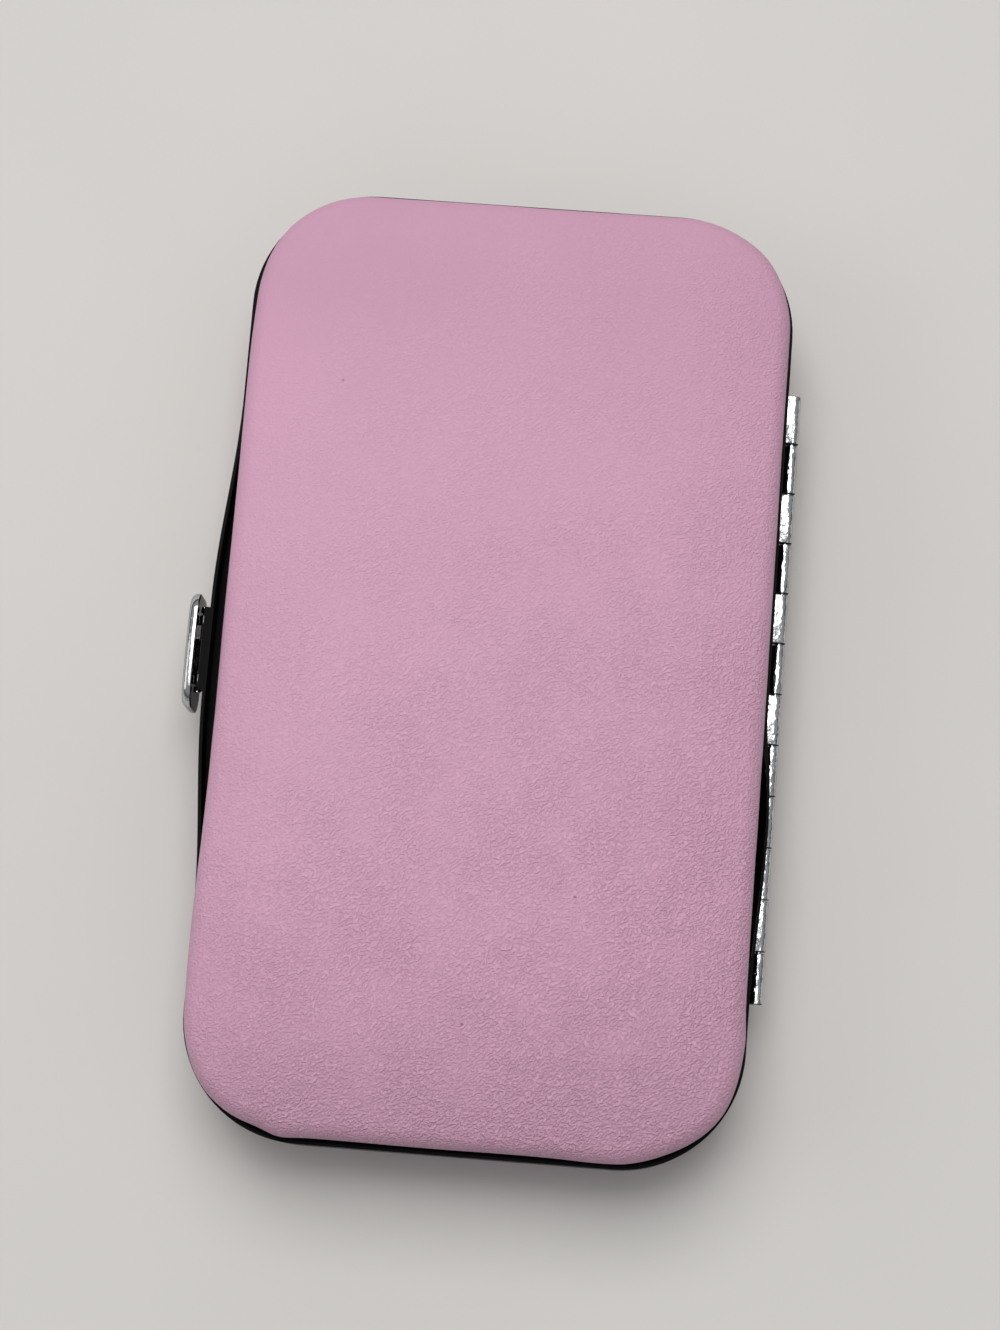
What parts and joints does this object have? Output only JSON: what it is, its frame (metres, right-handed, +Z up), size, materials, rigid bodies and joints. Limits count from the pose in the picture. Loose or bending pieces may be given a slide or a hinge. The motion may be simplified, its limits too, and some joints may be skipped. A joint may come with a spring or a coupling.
{
  "type": "manicure set case",
  "caption": "Slim hinged manicure case: two padded leatherette halves in steel frames, piano hinge, rocking snap clasp and elastic tool loops.",
  "frame": {"origin": "middle of the flat field on the lower cover, which the closed case rests on", "axes": "+Z up through the closed case, +Y along the case, +X towards the hinge, so the clasp is on the -X side"},
  "size_m": [0.0706, 0.1134, 0.019],
  "materials": {
    "leatherette": "fine pebbled grain, soft satin",
    "foam": "open cell foam",
    "shell_plastic": "moulded",
    "frame_paint": "gloss black enamel",
    "lining": "flocked",
    "elastic": "woven elastic",
    "chrome_plate": "bright plated, lightly rippled",
    "spring_steel": "bright wire"
  },
  "bodies": {
    "base": {"lower_cover": "leatherette", "lower_foam": "foam", "lower_shell": "shell_plastic", "lower_frame": "frame_paint", "lower_lining": "lining", "lower_board": "lining", "lower_tool_loops": "elastic", "lower_hinge_leaf": "chrome_plate", "hinge_pin": "chrome_plate", "clasp_catch": "frame_paint"},
    "lid": {"upper_cover": "leatherette", "upper_foam": "foam", "upper_shell": "shell_plastic", "upper_frame": "frame_paint", "upper_lining": "lining", "upper_board": "lining", "upper_tool_loops": "elastic", "upper_hinge_leaf": "chrome_plate", "clasp_bracket": "frame_paint", "clasp_pin": "chrome_plate", "clasp_spring": "spring_steel"},
    "lever": {"clasp_lever": "chrome_plate"}
  },
  "joints": [
    {"name": "lid_hinge", "type": "hinge", "parent": "base", "child": "lid", "pos_m": [0.03332, 0, 0.0095], "axis": [0, 1, 0], "range_deg": [0, 178]},
    {"name": "clasp_rock", "type": "hinge", "parent": "lid", "child": "lever", "pos_m": [-0.0348, 0, 0.0114], "axis": [0, 1, 0], "range_deg": [0, 14], "stiffness_Nm_per_rad": 0.03, "deforming": ["clasp_spring"]}
  ]
}
